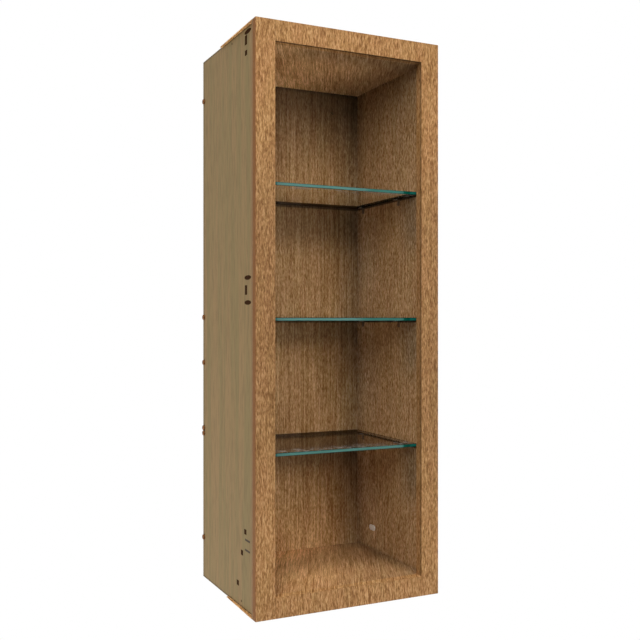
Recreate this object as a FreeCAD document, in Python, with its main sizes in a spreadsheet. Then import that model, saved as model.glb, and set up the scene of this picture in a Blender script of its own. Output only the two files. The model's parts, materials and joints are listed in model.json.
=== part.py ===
import FreeCAD, Part
import Sketcher
import os
import re

# Wall cabinet with an oak face frame, a veneered case and three lift-off glass shelves.
# Frame of the part: +Z up, -Y towards the room, X across, millimetres.
# The origin is on the wall plane, at the middle of the upper hanging rail.

doc = FreeCAD.newDocument("WallCabinet")
sheet = doc.addObject("Spreadsheet::Sheet", "Sizes")

sizes = (
    # overall
    ("cabinet_width", 381.0),
    ("cabinet_height", 1066.8),
    ("cabinet_depth", 311.15),
    # face frame
    ("frame_thickness", 19.05),
    ("stile_width", 38.1),
    ("rail_width", 38.1),
    ("tenon_length", 15.0),
    ("tenon_thickness", 6.35),
    ("tenon_shoulder", 6.0),
    # case
    ("side_thickness", 19.05),
    ("side_inset", 6.35),
    ("panel_thickness", 19.05),
    ("back_thickness", 6.35),
    ("dado_depth", 9.5),
    ("groove_depth", 6.35),
    ("joint_clearance", 0.1),
    ("hanging_rail_thickness", 19.05),
    ("hanging_rail_height", 88.9),
    ("cleat_width", 19.05),
    ("block_leg", 45.0),
    ("block_headroom", 2.0),
    ("lip_thickness", 1.5),
    ("lip_end_width", 4.0),
    ("top_lip_length", 175.0),
    ("bottom_lip_length", 137.5),
    # wall screw holes
    ("wall_hole_spacing", 203.2),
    ("wall_hole_radius", 2.5),
    # glass shelves
    ("glass_thickness", 6.35),
    ("glass_setback", 35.6),
    ("glass_back_gap", 2.5),
    ("glass_side_gap", 1.6),
    ("glass_arris", 0.6),
    # shelf pins and pads
    ("pin_radius", 2.5),
    ("pin_insert", 8.0),
    ("pin_fit", 0.05),
    ("pin_plate_thickness", 1.2),
    ("pin_plate_width", 9.0),
    ("pin_plate_height", 12.0),
    ("pin_tongue_length", 11.0),
    ("pin_tongue_thickness", 1.5),
    ("pin_front_setback", 71.0),
    ("pin_rear_setback", 25.0),
    ("pad_radius", 3.5),
    ("pad_thickness", 0.8),
    # pocket screws, from the side into the stile
    ("pocket_angle", 15.0),
    ("pocket_radius", 4.3),
    ("pocket_shoulder", 20.0),
    ("pocket_screw_radius", 1.9),
    ("pocket_screw_length", 32.0),
    ("pocket_head_radius", 3.7),
    ("pocket_head_height", 2.0),
    # rear screws, from the side into the hanging rails and cleats
    ("rear_screw_radius", 2.0),
    ("rear_screw_length", 35.0),
    ("rear_screw_setback", 6.0),
    ("rear_head_radius", 5.2),
    ("rear_head_height", 2.2),
    ("rear_head_crown", 1.0),
    ("twin_gap", 0.4),
    ("screw_fit", 0.05),
    # staples and filler plugs in the outer faces
    ("crown_length", 25.0),
    ("crown_height", 3.8),
    ("crown_thickness", 1.5),
    ("leg_length", 9.0),
    ("leg_width", 1.6),
    ("plug_width", 11.5),
    ("plug_depth", 2.5),
    ("plug_fit", 0.05),
    ("plug_gap", 0.4),
    ("tall_plug_height", 17.6),
    ("short_plug_height", 9.6),
    ("dot_plug_radius", 2.2),
    # cover cap on the right inner wall
    ("cap_length", 24.0),
    ("cap_height", 12.0),
    ("cap_thickness", 2.0),
    ("cap_stem_radius", 3.0),
    ("cap_stem_length", 8.0),
    ("cap_above_floor", 47.0),
    ("cutter_overrun", 5.0),
)

for row, (alias, value) in enumerate(sizes, start=1):
    sheet.set("A%d" % row, alias)
    sheet.set("B%d" % row, str(value))
    sheet.setAlias("B%d" % row, alias)
doc.recompute()

# Places worked out from the sizes, each written in earlier names.
places = {
    "half": "cabinet_width / 2",
    "frame_back": "(frame_thickness - cabinet_depth)",
    "case_depth": "(cabinet_depth - frame_thickness)",
    "ceiling": "hanging_rail_height / 2",
    "top_edge": "(ceiling + rail_width)",
    "bottom_edge": "(top_edge - cabinet_height)",
    "floor_top": "(bottom_edge + rail_width)",
    "inside_height": "(ceiling - floor_top)",
    "middle": "(ceiling + floor_top) / 2",
    "side_outer": "(half - side_inset)",
    "wall": "(side_outer - side_thickness)",
    "inside_width": "(2 * wall)",
    "back_front": "(-hanging_rail_thickness - back_thickness)",
    "rail_length": "(cabinet_width - 2 * stile_width)",
    "tenon_height": "(rail_width - 2 * tenon_shoulder)",
    "shelf_pitch": "inside_height / 4",
    "glass_width": "(inside_width - 2 * glass_side_gap)",
    "glass_front": "(glass_setback - cabinet_depth)",
    "glass_back": "(back_front - glass_back_gap)",
    "glass_depth": "(glass_back - glass_front)",
    "cleat_length": "(inside_height - 2 * hanging_rail_height)",
    "block_height": "(rail_width - panel_thickness - block_headroom)",
    "pocket_x": "(side_outer - side_thickness / 2)",
    "twin_half_step": "(rear_head_radius + twin_gap / 2)",
}

# Shares of the cabinet height, from its middle upwards.
pocket_height_shares = (0.4907, 0.0712, 0.0286)
rear_screw_height_shares = (0.0038, -0.0838)
twin_screw_height_share = -0.2157
# Shares of the cabinet depth from the front, then of its height from the middle.
crown_shares = ((0.179, -0.3780), (0.179, -0.3954))
tall_plug_shares = (0.203, 0.0501)
short_plug_shares = ((0.203, 0.4562), (0.214, -0.3648), (0.270, -0.4040), (0.340, -0.4614))
dot_plug_shares = ((0.4427, 0.4909), (0.2816, -0.4888), (0.4605, -0.4974))
cap_depth_share = 0.695


def full(text):
    """Write a formula out in the sheet's own aliases."""
    for name in reversed(list(places)):
        text = re.sub(r"\b%s\b" % name, "(%s)" % places[name], text)
    for alias, _ in sizes:
        text = re.sub(r"(?<!\.)\b%s\b" % alias, "Sizes." + alias, text)
    return text


def bind(thing, **formulas):
    for name, text in formulas.items():
        thing.setExpression(name, full(text))
    return thing


def put(thing, x="0", y="0", z="0"):
    for axis, text in zip("xyz", (x, y, z)):
        thing.setExpression("Placement.Base." + axis, full(text))
    return thing


def box(name, size, corner):
    piece = doc.addObject("Part::Box", name)
    bind(piece, Length=size[0], Width=size[1], Height=size[2])
    return put(piece, *corner)


def rod(name, radius, length, start, tilt=("0", "0", "0")):
    """A cylinder from start along +Z, turned by yaw, pitch and roll."""
    piece = doc.addObject("Part::Cylinder", name)
    bind(piece, Radius=radius, Height=length)
    for angle, text in zip(("Yaw", "Pitch", "Roll"), tilt):
        piece.setExpression("Placement.Rotation." + angle, full(text))
    return put(piece, *start)


def wedge(name, near, far, length, height, corner):
    """A prism whose width runs from near to far, each a pair of X limits."""
    piece = doc.addObject("Part::Wedge", name)
    bind(piece, Xmin=near[0], Xmax=near[1], X2min=far[0], X2max=far[1])
    bind(piece, Ymin="0", Ymax=length, Zmin="0", Zmax=height, Z2min="0", Z2max=height)
    return put(piece, *corner)


def cut(name, base, tools):
    if len(tools) > 1:
        tool = doc.addObject("Part::Compound", name + "_cutters")
        tool.Links = tools
    else:
        tool = tools[0]
    piece = doc.addObject("Part::Cut", name)
    piece.Base = base
    piece.Tool = tool
    return piece


def fuse(name, shapes):
    piece = doc.addObject("Part::MultiFuse", name)
    piece.Shapes = shapes
    piece.Refine = True
    return piece


def group(name, solids):
    piece = doc.addObject("Part::Compound", name)
    piece.Links = solids
    return piece


def mirrored(name, source):
    piece = doc.addObject("Part::Mirroring", name)
    piece.Source = source
    piece.Normal = (1, 0, 0)
    return piece


along_x = ("0", "90", "0")
along_y = ("0", "0", "-90")

nodes = []


def keep(label, piece):
    piece.Label = label
    nodes.append(piece)
    return piece


# Rear screws: heights on the side, with the twin pair one above the other.
def share_height(share):
    return "middle + %g * cabinet_height" % share


rear_heights = ["0", "floor_top + hanging_rail_height / 2"]
rear_heights += [share_height(share) for share in rear_screw_height_shares]
rear_heights += [
    share_height(twin_screw_height_share) + " + twin_half_step",
    share_height(twin_screw_height_share) + " - twin_half_step",
]


def rear_screw(name, height):
    start = ("-side_outer", "-rear_screw_setback", height)
    shank = rod(name + "_shank", "rear_screw_radius", "rear_screw_length", start, along_x)
    head_start = ("-side_outer - rear_head_height", "-rear_screw_setback", height)
    head = rod(name + "_head", "rear_head_radius", "rear_head_height", head_start, along_x)
    crown = doc.addObject("Part::Cone", name + "_crown")
    bind(crown, Radius1="rear_head_radius - rear_head_crown", Radius2="rear_head_radius",
         Height="rear_head_crown")
    crown.setExpression("Placement.Rotation.Pitch", full("90"))
    put(crown, "-side_outer - rear_head_height - rear_head_crown", "-rear_screw_setback", height)
    return fuse(name, [shank, head, crown])


def rear_pilot(name, height):
    start = ("-side_outer - cutter_overrun", "-rear_screw_setback", height)
    length = "rear_screw_length + cutter_overrun + screw_fit"
    return rod(name, "rear_screw_radius + screw_fit", length, start, along_x)


# Pocket screws: the axis leaves the side's front edge at mid-thickness and leans outwards.
def on_pocket_axis(distance, height):
    x = "-pocket_x - (%s) * sin(pocket_angle)" % distance
    y = "frame_back + (%s) * cos(pocket_angle)" % distance
    return (x, y, height)


pocket_tilt = ("pocket_angle", "0", "-90")
screw_tip = "pocket_shoulder - pocket_screw_length"


def pocket_screw(name, height):
    tip = on_pocket_axis(screw_tip, height)
    shank = rod(name + "_shank", "pocket_screw_radius", "pocket_screw_length", tip, pocket_tilt)
    seat = on_pocket_axis("pocket_shoulder", height)
    head = rod(name + "_head", "pocket_head_radius", "pocket_head_height", seat, pocket_tilt)
    return fuse(name, [shank, head])


def pocket_pilot(name, height):
    tip = on_pocket_axis(screw_tip + " - screw_fit", height)
    length = "pocket_screw_length + cutter_overrun"
    return rod(name, "pocket_screw_radius + screw_fit", length, tip, pocket_tilt)


def pocket_mouth(name, height):
    seat = on_pocket_axis("pocket_shoulder", height)
    return rod(name, "pocket_radius", "2 * pocket_screw_length", seat, pocket_tilt)


def pocket_plug(name, height):
    """Fills the pocket beyond the screw's head, flush with the side's outer face."""
    seat = on_pocket_axis("pocket_shoulder + pocket_head_height + plug_fit", height)
    length = "2 * pocket_screw_length"
    plug = doc.addObject("Part::Common", name)
    plug.Base = rod(name + "_dowel", "pocket_radius - plug_fit", length, seat, pocket_tilt)
    plug.Tool = side_board
    return plug


# Marks let into the outer face of a side: a depth and a height on the face place each middle.
def share_depth(share):
    return "%g * cabinet_depth - cabinet_depth" % share


def face_box(name, width, height, depth, y, z):
    corner = ("-side_outer", "%s - (%s) / 2" % (y, width), "%s - (%s) / 2" % (z, height))
    return box(name, (depth, width, height), corner)


def staple(name, y, z):
    solids = [face_box(name + "_crown", "crown_length", "crown_height", "crown_thickness", y, z)]
    for end, sign in (("front", "-"), ("rear", "+")):
        leg_y = "%s %s (crown_length - leg_width) / 2" % (y, sign)
        depth = "crown_thickness + leg_length"
        solids.append(face_box("%s_%s_leg" % (name, end), "leg_width", "leg_width", depth, leg_y, z))
    return fuse(name, solids)


def tall_plug(name, y, z):
    return face_box(name, "plug_width", "tall_plug_height", "plug_depth", y, z)


def short_plug(name, y, z):
    return face_box(name, "plug_width", "short_plug_height", "plug_depth", y, z)


def dot_plug(name, y, z):
    return rod(name, "dot_plug_radius", "plug_depth", ("-side_outer", y, z), along_x)


def marks(name, make, shares):
    """One mark for each pair of shares, numbered from 1."""
    return [make("%s_%d" % (name, i + 1), share_depth(depth_share), share_height(height_share))
            for i, (depth_share, height_share) in enumerate(shares)]


staples = marks("staple", staple, crown_shares)
plugs = marks("middle_plug", tall_plug, [tall_plug_shares])
under_pocket = share_height(pocket_height_shares[0]) + " - pocket_radius - plug_gap"
plugs.append(tall_plug("top_plug", share_depth(tall_plug_shares[0]), under_pocket + " - tall_plug_height / 2"))
plugs += marks("short_plug", short_plug, short_plug_shares)
plugs += marks("dot_plug", dot_plug, dot_plug_shares)

# Shelves: middles of the three panes, from the lowest up.
shelf_middles = (
    ("lower", "middle - shelf_pitch"),
    ("middle", "middle"),
    ("upper", "middle + shelf_pitch"),
)
pin_ys = (
    ("front", "glass_front + pin_front_setback"),
    ("rear", "glass_back - pin_rear_setback"),
)
pin_top = " - glass_thickness / 2 - pad_thickness"


def pin_hole(name, y, z):
    start = ("-wall - pin_insert - pin_fit", y, z)
    return rod(name, "pin_radius + pin_fit", "pin_insert + cutter_overrun", start, along_x)


def shelf_pin(name, y, z):
    """An L bracket on a round stud; z is the top of its tongue."""
    stud_z = "(%s) - pin_plate_height / 2" % z
    stud = rod(name + "_stud", "pin_radius", "pin_insert", ("-wall - pin_insert", y, stud_z), along_x)
    edge = "(%s) - pin_plate_width / 2" % y
    plate = box(name + "_plate", ("pin_plate_thickness", "pin_plate_width", "pin_plate_height"),
                ("-wall", edge, "(%s) - pin_plate_height" % z))
    tongue = box(name + "_tongue", ("pin_tongue_length", "pin_plate_width", "pin_tongue_thickness"),
                 ("-wall", edge, "(%s) - pin_tongue_thickness" % z))
    return fuse(name, [stud, plate, tongue])


def shelf_pad(name, y, z):
    x = "-wall + pin_tongue_length - pad_radius - pin_plate_thickness"
    return rod(name, "pad_radius", "pad_thickness", (x, y, z))


# Face frame
rail_bottoms = (("top_rail", "ceiling"), ("bottom_rail", "bottom_edge"))
tenon_y = "(frame_thickness - tenon_thickness) / 2 - cabinet_depth"

left_stile_board = box("left_stile_board", ("stile_width", "frame_thickness", "cabinet_height"),
                       ("-half", "-cabinet_depth", "bottom_edge"))
stile_cutters = []
for name, z in rail_bottoms:
    size = ("tenon_length + joint_clearance + cutter_overrun",
            "tenon_thickness + 2 * joint_clearance",
            "tenon_height + 2 * joint_clearance")
    corner = ("stile_width - half - tenon_length - joint_clearance",
              tenon_y + " - joint_clearance",
              z + " + tenon_shoulder - joint_clearance")
    stile_cutters.append(box(name + "_mortise", size, corner))
for i, share in enumerate(pocket_height_shares):
    stile_cutters.append(pocket_pilot("stile_pilot_%d" % (i + 1), share_height(share)))
left_stile = keep("left_stile", cut("left_stile", left_stile_board, stile_cutters))
keep("right_stile", mirrored("right_stile", left_stile))

for name, z in rail_bottoms:
    rail = box(name + "_board", ("rail_length", "frame_thickness", "rail_width"),
               ("-rail_length / 2", "-cabinet_depth", z))
    tenons = box(name + "_tenons",
                 ("rail_length + 2 * tenon_length", "tenon_thickness", "tenon_height"),
                 ("-rail_length / 2 - tenon_length", tenon_y, z + " + tenon_shoulder"))
    keep(name, fuse(name, [rail, tenons]))

# Case sides
side_board = box("side_board", ("side_thickness", "case_depth", "cabinet_height"),
                 ("-side_outer", "frame_back", "bottom_edge"))
side_cutters = []
for name, z in (("top", "ceiling"), ("bottom", "floor_top - panel_thickness")):
    side_cutters.append(box(name + "_dado",
                            ("dado_depth + cutter_overrun", "case_depth + 2 * cutter_overrun",
                             "panel_thickness + joint_clearance"),
                            ("-wall - dado_depth", "frame_back - cutter_overrun", z)))
side_cutters.append(box("back_groove",
                        ("groove_depth + cutter_overrun", "back_thickness",
                         "inside_height + 2 * groove_depth"),
                        ("-wall - groove_depth", "back_front", "floor_top - groove_depth")))
for i, share in enumerate(pocket_height_shares):
    side_cutters.append(pocket_pilot("side_pilot_%d" % (i + 1), share_height(share)))
    side_cutters.append(pocket_mouth("pocket_%d" % (i + 1), share_height(share)))
for i, height in enumerate(rear_heights):
    side_cutters.append(rear_pilot("side_rear_pilot_%d" % (i + 1), height))
for shelf, z in shelf_middles:
    for row, y in pin_ys:
        stud_z = z + pin_top + " - pin_plate_height / 2"
        side_cutters.append(pin_hole("%s_%s_pin_hole" % (shelf, row), y, stud_z))
side_blank = cut("side_blank", side_board, side_cutters)
left_side = keep("left_side", cut("left_side", side_blank, staples + plugs))

cap_y = share_depth(cap_depth_share)
cap_z = "floor_top + cap_above_floor"
cap_hole = rod("cap_hole", "cap_stem_radius + screw_fit", "cap_stem_length + cutter_overrun + screw_fit",
               ("wall - cutter_overrun", cap_y, cap_z), along_x)
right_side_blank = mirrored("right_side_blank", left_side)
keep("right_side", cut("right_side", right_side_blank, [cap_hole]))

# Top, bottom and back of the case
panel_size = ("inside_width + 2 * (dado_depth - joint_clearance)", "case_depth", "panel_thickness")
panel_x = "-wall - dado_depth + joint_clearance"
groove_size = ("inside_width + 2 * dado_depth", "back_thickness", "groove_depth + cutter_overrun")
for name, z, groove_z in (
    ("top_panel", "ceiling", "ceiling - cutter_overrun"),
    ("bottom_panel", "floor_top - panel_thickness", "floor_top - groove_depth"),
):
    panel = box(name + "_board", panel_size, (panel_x, "frame_back", z))
    groove = box(name + "_groove", groove_size, ("-wall - dado_depth", "back_front", groove_z))
    keep(name, cut(name, panel, [groove]))


def wall_holes(name):
    length = "hanging_rail_thickness + back_thickness + 2 * cutter_overrun"
    holes = []
    for side, sign in (("left", "-"), ("right", "")):
        start = (sign + "wall_hole_spacing / 2", "back_front - cutter_overrun", "0")
        holes.append(rod("%s_%s_hole" % (name, side), "wall_hole_radius", length, start, along_y))
    return holes


back_board = box("back_board",
                 ("inside_width + 2 * (groove_depth - joint_clearance)", "back_thickness",
                  "inside_height + 2 * (groove_depth - joint_clearance)"),
                 ("-wall - groove_depth + joint_clearance", "back_front",
                  "floor_top - groove_depth + joint_clearance"))
keep("back_panel", cut("back_panel", back_board, wall_holes("back_panel")))


# Hanging rails and cleats behind the back
def both_sides(name, cutters):
    return [mirrored(name + "_%d" % (i + 1), cutter) for i, cutter in enumerate(cutters)]


rail_size = ("inside_width", "hanging_rail_thickness", "hanging_rail_height")
for name, z, height in (
    ("upper_hanging_rail", "ceiling - hanging_rail_height", rear_heights[0]),
    ("lower_hanging_rail", "floor_top", rear_heights[1]),
):
    board = box(name + "_board", rail_size, ("-wall", "-hanging_rail_thickness", z))
    pilots = [rear_pilot(name + "_pilot", height)]
    pilots += both_sides(name + "_right_pilot", pilots)
    if name == "upper_hanging_rail":
        pilots += wall_holes(name)
    keep(name, cut(name, board, pilots))

cleat_board = box("cleat_board", ("cleat_width", "hanging_rail_thickness", "cleat_length"),
                  ("-wall", "-hanging_rail_thickness", "floor_top + hanging_rail_height"))
cleat_pilots = [rear_pilot("cleat_pilot_%d" % (i + 1), z) for i, z in enumerate(rear_heights[2:])]
left_cleat = keep("left_back_cleat", cut("left_back_cleat", cleat_board, cleat_pilots))
keep("right_back_cleat", mirrored("right_back_cleat", left_cleat))

# Corner blocks in the recesses above the top panel and below the bottom panel
for name, z in (
    ("top_corner_blocks", "ceiling + panel_thickness"),
    ("bottom_corner_blocks", "floor_top - panel_thickness - block_height"),
):
    block = wedge(name + "_left", ("0", "block_leg"), ("0", "0"), "block_leg", "block_height",
                  ("-wall", "frame_back", z))
    keep(name, group(name, [block, mirrored(name + "_right", block)]))

# Narrowing lips behind the frame's overhang, along the side's top and bottom edges
for name, z in (("top_lip", "top_edge - lip_thickness"), ("bottom_lip", "bottom_edge")):
    lip = wedge("left_" + name, ("0", "side_inset"), ("side_inset - lip_end_width", "side_inset"),
                name + "_length", "lip_thickness", ("-half", "frame_back", z))
    keep("left_" + name, lip)
    keep("right_" + name, mirrored("right_" + name, lip))


# Glass shelves
def glass_shelf(label, z):
    body = doc.addObject("PartDesign::Body", label)
    planes = {feature.Role: feature for feature in body.Origin.OriginFeatures}
    outline = body.newObject("Sketcher::SketchObject", label + "_outline")
    outline.AttachmentSupport = (planes["XY_Plane"], [""])
    outline.MapMode = "FlatFace"
    corners = [FreeCAD.Vector(x, y, 0) for x, y in ((-1, -1), (1, -1), (1, 1), (-1, 1))]
    for i, corner in enumerate(corners):
        outline.addGeometry(Part.LineSegment(corner, corners[(i + 1) % 4]))
    for i in range(4):
        outline.addConstraint(Sketcher.Constraint("Coincident", i, 2, (i + 1) % 4, 1))
    for i in (0, 2):
        outline.addConstraint(Sketcher.Constraint("Horizontal", i))
        outline.addConstraint(Sketcher.Constraint("Vertical", i + 1))
    outline.addConstraint(Sketcher.Constraint("Symmetric", 0, 1, 1, 2, -1, 1))
    width = outline.addConstraint(Sketcher.Constraint("DistanceX", 0, 1, 0, 2, 2))
    depth = outline.addConstraint(Sketcher.Constraint("DistanceY", 1, 1, 1, 2, 2))
    outline.renameConstraint(width, "width")
    outline.renameConstraint(depth, "depth")
    outline.setExpression("Constraints.width", full("glass_width"))
    outline.setExpression("Constraints.depth", full("glass_depth"))
    pane = body.newObject("PartDesign::Pad", label + "_pane")
    pane.Profile = outline
    bind(pane, Length="glass_thickness")
    doc.recompute()
    arris = body.newObject("PartDesign::Chamfer", label + "_arris")
    arris.Base = (pane, [""])
    arris.UseAllEdges = True
    bind(arris, Size="glass_arris")
    body.Tip = arris
    return put(body, "0", "(glass_front + glass_back) / 2", z + " - glass_thickness / 2")


for shelf, z in shelf_middles:
    keep(shelf + "_shelf", glass_shelf(shelf + "_shelf", z))
    pins = []
    pads = []
    for row, y in pin_ys:
        pins.append(shelf_pin("%s_%s_pin" % (shelf, row), y, z + pin_top))
        pads.append(shelf_pad("%s_%s_pad" % (shelf, row), y, z + pin_top))
    pins += both_sides(shelf + "_right_pin", pins)
    pads += both_sides(shelf + "_right_pad", pads)
    keep(shelf + "_shelf_pins", group(shelf + "_shelf_pins", pins))
    keep(shelf + "_shelf_pads", group(shelf + "_shelf_pads", pads))

# Fixings, the left set first and the right set its mirror image
frame_screws = [pocket_screw("frame_screw_%d" % (i + 1), share_height(share))
                for i, share in enumerate(pocket_height_shares)]
pocket_plugs = [pocket_plug("pocket_plug_%d" % (i + 1), share_height(share))
                for i, share in enumerate(pocket_height_shares)]
rear_screws = [rear_screw("rear_screw_%d" % (i + 1), z) for i, z in enumerate(rear_heights)]
for name, solids in (
    ("frame_screws", frame_screws),
    ("pocket_plugs", pocket_plugs),
    ("rear_screws", rear_screws),
    ("staples", staples),
    ("filler_plugs", plugs),
):
    left = keep("left_" + name, group("left_" + name, solids))
    keep("right_" + name, mirrored("right_" + name, left))

# Cover cap: a round-ended plate on a stem
straight = "(cap_length - cap_height)"
cap_plate = box("cap_plate", ("cap_thickness", straight, "cap_height"),
                ("wall - cap_thickness", cap_y + " - %s / 2" % straight, cap_z + " - cap_height / 2"))
cap_ends = [rod("cap_%s_end" % end, "cap_height / 2", "cap_thickness",
                ("wall - cap_thickness", cap_y + " %s %s / 2" % (sign, straight), cap_z), along_x)
            for end, sign in (("front", "-"), ("rear", "+"))]
cap_stem = rod("cap_stem", "cap_stem_radius", "cap_stem_length", ("wall", cap_y, cap_z), along_x)
keep("cover_cap", fuse("cover_cap", [cap_plate] + cap_ends + [cap_stem]))

doc.recompute()

for thing in doc.Objects:
    if "Invalid" in thing.State or "Error" in thing.State:
        raise RuntimeError("%s did not recompute: %s" % (thing.Label, thing.State))
for piece in nodes:
    if piece.Shape.isNull() or not piece.Shape.isValid():
        raise RuntimeError("%s has no valid shape" % piece.Label)

os.makedirs("parts", exist_ok=True)
for piece in nodes:
    piece.Shape.exportStep("parts/%s.step" % piece.Label)
    print(piece.Label, len(piece.Shape.Solids), round(piece.Shape.Volume, 1))
print(len(nodes), "nodes")
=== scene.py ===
import bpy
import bmesh
import json
import math
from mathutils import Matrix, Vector

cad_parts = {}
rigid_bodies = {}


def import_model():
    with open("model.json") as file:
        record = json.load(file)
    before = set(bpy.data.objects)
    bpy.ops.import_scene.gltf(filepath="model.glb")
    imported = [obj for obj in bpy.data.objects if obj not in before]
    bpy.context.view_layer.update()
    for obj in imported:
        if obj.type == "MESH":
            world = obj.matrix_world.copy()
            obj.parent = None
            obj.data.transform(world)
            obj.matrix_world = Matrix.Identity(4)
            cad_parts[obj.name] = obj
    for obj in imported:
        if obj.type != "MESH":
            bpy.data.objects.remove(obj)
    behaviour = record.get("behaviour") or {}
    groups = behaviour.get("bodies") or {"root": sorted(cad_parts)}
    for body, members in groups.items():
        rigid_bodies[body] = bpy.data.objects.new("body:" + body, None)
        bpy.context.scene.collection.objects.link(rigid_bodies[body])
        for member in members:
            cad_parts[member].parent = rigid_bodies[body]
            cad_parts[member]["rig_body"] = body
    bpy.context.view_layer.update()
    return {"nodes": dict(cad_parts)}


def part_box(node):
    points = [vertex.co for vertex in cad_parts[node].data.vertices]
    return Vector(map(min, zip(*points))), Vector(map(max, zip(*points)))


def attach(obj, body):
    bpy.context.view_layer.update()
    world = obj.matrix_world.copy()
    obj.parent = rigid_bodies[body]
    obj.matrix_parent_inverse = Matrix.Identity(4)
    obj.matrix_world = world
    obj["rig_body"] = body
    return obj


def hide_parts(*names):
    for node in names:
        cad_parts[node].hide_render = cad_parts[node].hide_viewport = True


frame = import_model()
nodes = frame["nodes"]
shelves = ("lower_shelf", "middle_shelf", "upper_shelf")
print("frame loaded:", len(nodes), "nodes")


# A colour read off a picture, as the linear values of a socket.
def srgb(red, green, blue):
    out = []
    for value in (red, green, blue):
        share = value / 255
        out.append(share / 12.92 if share <= 0.04045 else ((share + 0.055) / 1.055) ** 2.4)
    return (*out, 1.0)


# The nodes of one material or world, made and joined in short calls.
class Wiring:
    colourInputs = (6, 7)  # where the Mix node has its two colours
    colourOutput = 2
    turned = 0.5  # a face is turned to an axis where its normal has more than this of it

    def __init__(self, holder):
        holder.use_nodes = True
        self.holder = holder
        self.tree = holder.node_tree
        self.shader = self.tree.nodes.get("Principled BSDF")

    def add(self, kind, inputs=None, **settings):
        node = self.tree.nodes.new("ShaderNode" + kind)
        for name, value in settings.items():
            setattr(node, name, value)
        for name, value in (inputs or {}).items():
            self.feed(node.inputs[name], value)
        return node

    def feed(self, socket, value):
        if isinstance(value, bpy.types.NodeSocket):
            self.tree.links.new(value, socket)
        else:
            socket.default_value = value

    def calc(self, operation, first, second=0.0):
        return self.add("Math", {0: first, 1: second}, operation=operation).outputs[0]

    # Where two masks hold together, or one mask made weaker.
    def times(self, first, second):
        return self.calc("MULTIPLY", first, second)

    def opposite(self, mask):
        return self.calc("SUBTRACT", 1.0, mask)

    def mix(self, share, first, second, blend="MIX"):
        one, two = self.colourInputs
        node = self.add("Mix", {"Factor": share, one: first, two: second},
                        data_type="RGBA", blend_type=blend)
        return node.outputs[self.colourOutput]

    def ramp(self, value, stops):
        node = self.add("ValToRGB", {"Fac": value})
        elements = node.color_ramp.elements
        while len(elements) < len(stops):
            elements.new(0.5)
        for element, (place, colour) in zip(elements, stops):
            element.position = place
            element.color = colour
        return node.outputs[0]

    # 0 below low, 1 above high, smooth between.
    def band(self, value, low, high):
        node = self.add("MapRange", {"Value": value, "From Min": low, "From Max": high},
                        interpolation_type="SMOOTHSTEP")
        return node.outputs["Result"]

    # 1 below low, 0 above high, smooth between.
    def fall(self, value, low, high):
        return self.opposite(self.band(value, low, high))

    # 1 at a flat limit, fading to 0 at reach from it, after a core that doesn't fade.
    def near(self, place, limit, reach, core=0.0):
        away = self.calc("ABSOLUTE", self.calc("SUBTRACT", place, limit))
        return self.fall(away, reach * core, reach)

    # Darkens a colour by up to depth where mask is 1.
    def darken(self, colour, mask, depth):
        shade = self.opposite(self.times(mask, depth))
        return self.mix(1.0, colour, shade, "MULTIPLY")

    # Multiplies a colour by tint where mask is 1.
    def tinted(self, colour, mask, tint):
        return self.mix(mask, colour, self.mix(1.0, colour, tint, "MULTIPLY"))

    def places(self):
        return self.add("TexCoord").outputs["Object"]

    def axes(self, vector):
        return self.add("SeparateXYZ", {"Vector": vector}).outputs

    def facing(self, axis):
        return self.axes(self.add("TexCoord").outputs["Normal"])["XYZ".index(axis)]

    # 1 where a face is turned to an axis, to either end of it.
    def alongside(self, axis, limit=turned):
        return self.calc("GREATER_THAN", self.calc("ABSOLUTE", self.facing(axis)), limit)

    # Scale places so that one unit is one grain cell of these sizes in metres.
    def stretched(self, where, sizes):
        scale = tuple(1 / size for size in sizes)
        return self.add("Mapping", {"Vector": where, "Scale": scale}).outputs[0]

    def noise(self, where, sizes, detail=2.0, roughness=0.5, distortion=0.0):
        cells = self.stretched(where, sizes)
        node = self.add("TexNoise", {"Vector": cells, "Scale": 1.0, "Detail": detail,
                                     "Roughness": roughness, "Distortion": distortion})
        return node.outputs["Fac"]

    def finish(self, colour, roughness, specular, bump=None, height=0.0):
        self.feed(self.shader.inputs["Base Color"], colour)
        self.feed(self.shader.inputs["Roughness"], roughness)
        self.shader.inputs["Specular IOR Level"].default_value = specular
        if bump is not None:
            node = self.add("Bump", {"Height": bump, "Distance": height, "Strength": 1.0})
            self.feed(self.shader.inputs["Normal"], node.outputs[0])
        return self.holder


def paint(name):
    return Wiring(bpy.data.materials.new(name))


# Camera, floor and light

studio = {
    "cameraAt": (-0.7636, -1.7655, -0.4509),
    "yaw": -25.67,  # degrees from straight on
    "lens": 49.85,
    "horizonLift": -0.0011,  # the camera's shift
    "floorDrop": 1.37,  # a wall cabinet hangs this far above the floor
    "floorSize": 60.0,
    "floorColour": srgb(236, 236, 234),
    "floorRough": 0.9,
    "floorGloss": 0.2,
    "nearWhite": 0.95,  # how much of the floor near the object is plain white to the eye
    "nearReach": 1.6,
    "farReach": 3.4,
    "ambient": 0.16,
    "paneShade": 0.60,  # how much of that light the panes keep from what is under them
    "lampAim": (0.0, -0.15, -0.45),
}

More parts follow.
